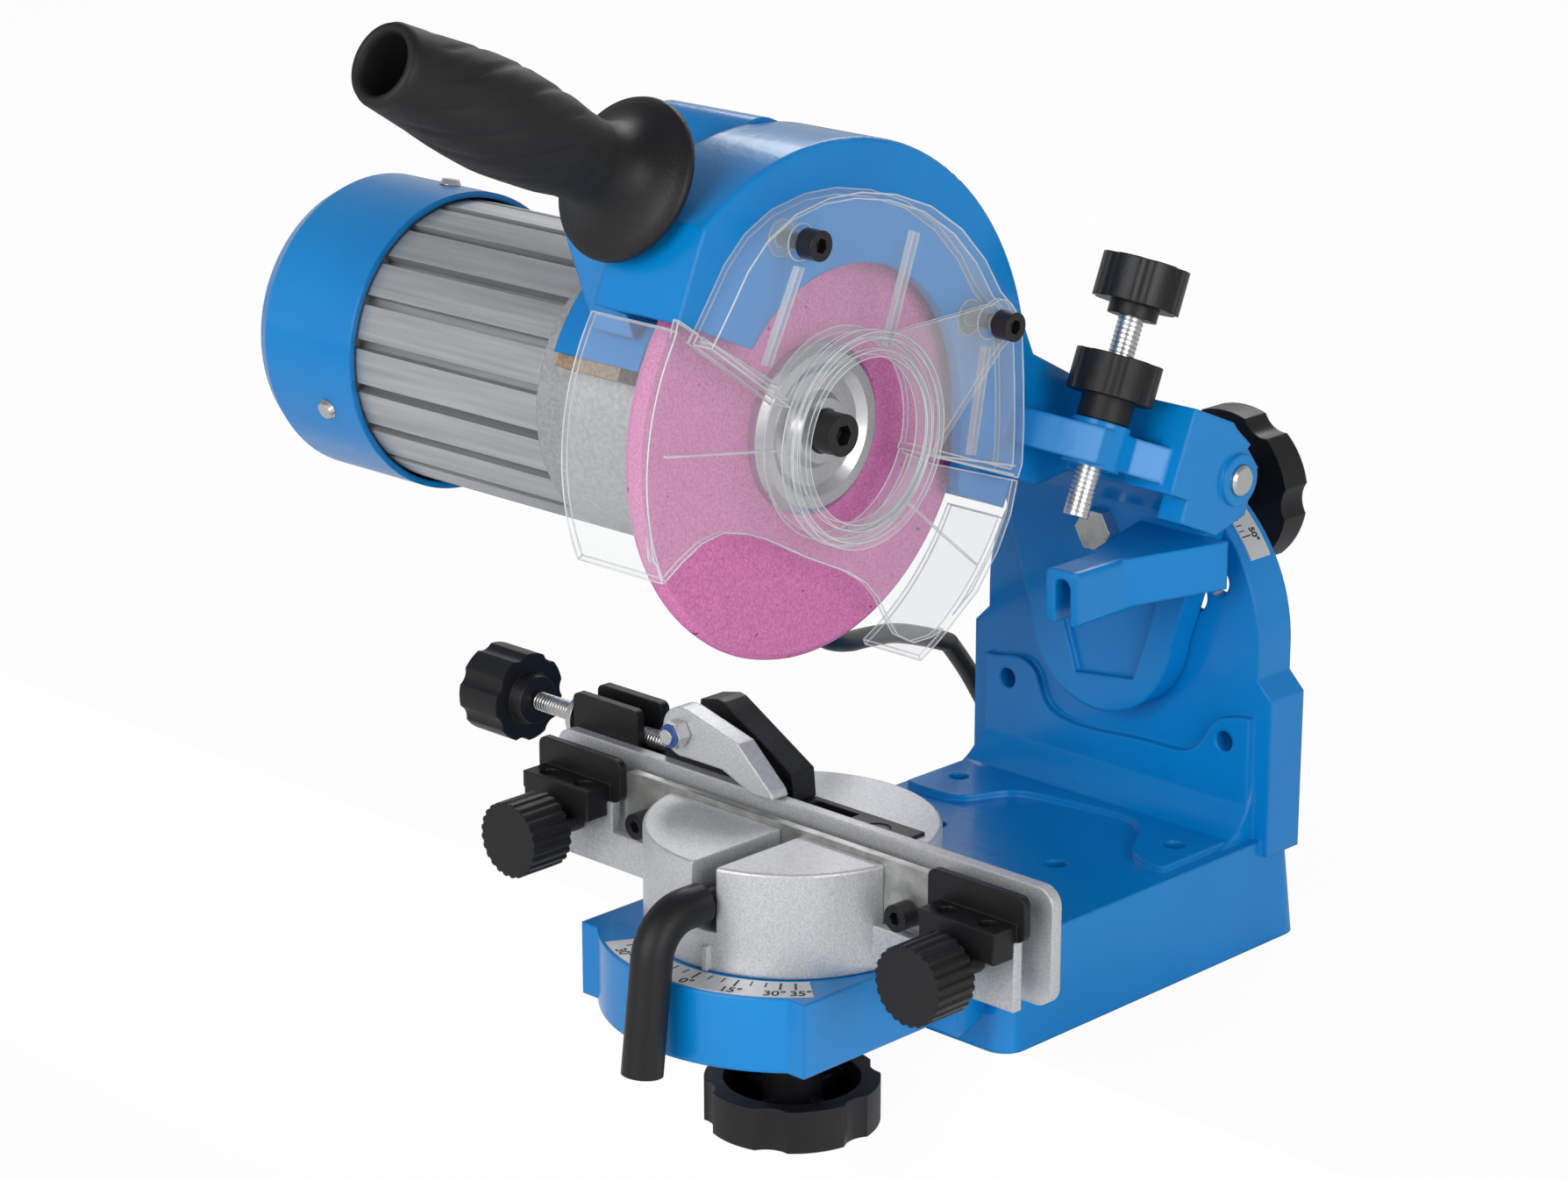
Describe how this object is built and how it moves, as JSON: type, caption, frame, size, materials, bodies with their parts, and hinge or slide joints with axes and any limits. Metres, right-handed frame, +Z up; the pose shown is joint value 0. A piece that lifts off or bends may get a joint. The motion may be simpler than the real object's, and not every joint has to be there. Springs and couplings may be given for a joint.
{
  "type": "saw chain sharpener",
  "caption": "Bench-mounted electric saw chain sharpener: hinged, tilting grinding head with motor and clear wheel guard over a swivelling chain vise on a cast base.",
  "frame": {"origin": "on the bench surface, midway between the two rear bolt holes of the base", "axes": "+Z up from the bench, -Y towards the operator, +X the side the grinding wheel's free face looks to, -X the motor side"},
  "size_m": [0.31, 0.4276, 0.3625],
  "materials": {
    "blue_paint": "glossy blue paint on a casting",
    "silver_paint": "metallic silver paint, sand texture",
    "cast_alloy": "bare cast, slightly rough",
    "motor_grey": "satin grey extrusion",
    "zinc": "zinc plated",
    "bright_steel": "machined steel",
    "black_steel": "black oxide",
    "black_plastic": "moulded, satin",
    "black_rubber": "soft rubber",
    "scale_strip": "silver strip with printed marks",
    "wheel_pink": "fine grained vitrified abrasive",
    "clear_guard": "clear polycarbonate",
    "gasket_tan": "tan gasket",
    "core_steel": "laminations and winding",
    "nyloc": "zinc nut with a blue locking ring"
  },
  "bodies": {
    "base": {"base_casting": "blue_paint", "tilt_scale": "scale_strip", "swivel_scale": "scale_strip", "cord_upper": "black_rubber", "cord_lower": "black_rubber", "cord_coil": "black_rubber", "cord_tail": "black_rubber", "plug": "black_rubber"},
    "tilt_bracket": {"tilt_bracket": "blue_paint", "tilt_pivot_screw": "zinc", "tilt_clamp_bolt": "zinc", "pivot_pin": "bright_steel", "return_spring": "bright_steel"},
    "tilt_lock_knob": {"tilt_lock_knob": "black_plastic"},
    "head": {"head_casting": "blue_paint", "handle": "black_rubber", "front_bell": "cast_alloy", "bearings": "bright_steel", "stator_tube": "motor_grey", "stator_core": "core_steel", "rear_bell": "cast_alloy", "fan_cover": "blue_paint", "cover_screws": "zinc", "bell_gasket": "gasket_tan", "wheel_guard": "clear_guard", "guard_screws": "black_steel", "switch_box": "blue_paint", "cable_gland": "black_rubber"},
    "spindle": {"motor_shaft": "bright_steel", "rotor": "core_steel", "cooling_fan": "black_plastic", "inner_flange": "bright_steel", "grinding_wheel": "wheel_pink", "outer_flange": "bright_steel", "flange_bolt": "black_steel"},
    "hub_cover": {"hub_cover": "clear_guard"},
    "depth_screw": {"depth_screw": "zinc", "depth_knob": "black_plastic"},
    "depth_lock_knob": {"depth_lock_knob": "black_plastic"},
    "switch_rocker": {"switch_rocker": "black_plastic"},
    "vise": {"vise_body": "silver_paint", "back_rail": "silver_paint", "clamp_screws": "black_steel", "swivel_stud": "zinc", "left_chain_guide": "black_plastic", "right_chain_guide": "black_plastic", "guide_screws": "black_steel", "stop_track": "black_steel", "track_screw": "zinc"},
    "swivel_lock_knob": {"swivel_lock_knob": "black_plastic"},
    "clamp_lever": {"clamp_lever": "black_steel"},
    "clamp_plate": {"clamp_plate": "zinc"},
    "adjusting_screw": {"adjusting_screw": "zinc", "adjusting_knob": "black_plastic"},
    "stop_carriage": {"stop_carriage": "black_steel", "pawl_bolt": "zinc", "pawl_nut": "nyloc"},
    "stop_pawl": {"stop_pawl": "silver_paint"},
    "left_thumb_screw": {"left_thumb_screw": "black_plastic"},
    "right_thumb_screw": {"right_thumb_screw": "black_plastic"}
  },
  "joints": [
    {"name": "tilt", "type": "hinge", "parent": "base", "child": "tilt_bracket", "pos_m": [0, 0.027, 0.099], "axis": [0, 1, 0], "range_deg": [0, 36]},
    {"name": "tilt_knob_turn", "type": "hinge", "parent": "tilt_bracket", "child": "tilt_lock_knob", "pos_m": [0, 0.085, 0.1324], "axis": [0, 1, 0], "continuous": true},
    {"name": "head_swing", "type": "hinge", "parent": "tilt_bracket", "child": "head", "pos_m": [0, 0.015, 0.16], "axis": [1, 0, 0], "range_deg": [0, 15], "stiffness_Nm_per_rad": 9, "springref_deg": -85.94, "deforming": ["cord_upper"]},
    {"name": "spindle_turn", "type": "hinge", "parent": "head", "child": "spindle", "pos_m": [0, -0.127, 0.195], "axis": [1, 0, 0], "continuous": true},
    {"name": "hub_cover_swing", "type": "hinge", "parent": "head", "child": "hub_cover", "pos_m": [0.024, -0.06588, 0.21992], "axis": [1, 0, 0], "range_deg": [0, 40]},
    {"name": "depth_screw_turn", "type": "hinge", "parent": "head", "child": "depth_screw", "pos_m": [0.035, -0.023, 0.19431], "axis": [0, 0.3907, 0.9205], "range_deg": [-360, 360]},
    {"name": "depth_lock_turn", "type": "hinge", "parent": "head", "child": "depth_lock_knob", "pos_m": [0.035, -0.02457, 0.19063], "axis": [0, 0.3907, 0.9205], "range_deg": [-360, 360]},
    {"name": "rocker_press", "type": "hinge", "parent": "head", "child": "switch_rocker", "pos_m": [-0.062, -0.11438, 0.26569], "axis": [0, 0.3907, 0.9205], "range_deg": [0, 12]},
    {"name": "vise_swivel", "type": "hinge", "parent": "base", "child": "vise", "pos_m": [0, -0.131, 0.035], "axis": [0, 0, 1], "range_deg": [-35, 35]},
    {"name": "swivel_knob_turn", "type": "hinge", "parent": "vise", "child": "swivel_lock_knob", "pos_m": [0, -0.131, -0.02], "axis": [0, 0, 1], "continuous": true},
    {"name": "clamp_lever_turn", "type": "hinge", "parent": "vise", "child": "clamp_lever", "pos_m": [0.007, -0.16, 0.057], "axis": [0, 1, 0], "range_deg": [0, 80]},
    {"name": "clamp_slide", "type": "slide", "parent": "vise", "child": "clamp_plate", "axis": [0, 1, 0], "range_m": [0, 0.0016]},
    {"name": "stop_screw_turn", "type": "hinge", "parent": "vise", "child": "adjusting_screw", "pos_m": [-0.1, -0.12, 0.0753], "axis": [1, 0, 0], "range_deg": [0, 2880]},
    {"name": "carriage_slide", "type": "slide", "parent": "vise", "child": "stop_carriage", "axis": [1, 0, 0], "range_m": [-0.01, 0]},
    {"name": "pawl_lift", "type": "hinge", "parent": "stop_carriage", "child": "stop_pawl", "pos_m": [-0.045, -0.131, 0.088], "axis": [0, 1, 0], "range_deg": [-20, 0]},
    {"name": "left_thumb_turn", "type": "hinge", "parent": "vise", "child": "left_thumb_screw", "pos_m": [-0.0858, -0.16, 0.051], "axis": [0, 1, 0], "continuous": true},
    {"name": "right_thumb_turn", "type": "hinge", "parent": "vise", "child": "right_thumb_screw", "pos_m": [0.0858, -0.16, 0.051], "axis": [0, 1, 0], "continuous": true}
  ],
  "couplings": [
    {"joint": "clamp_lever_turn", "follows": "clamp_slide", "rad_per_m": 872.6},
    {"joint": "stop_screw_turn", "follows": "carriage_slide", "rad_per_m": -5026.5}
  ]
}
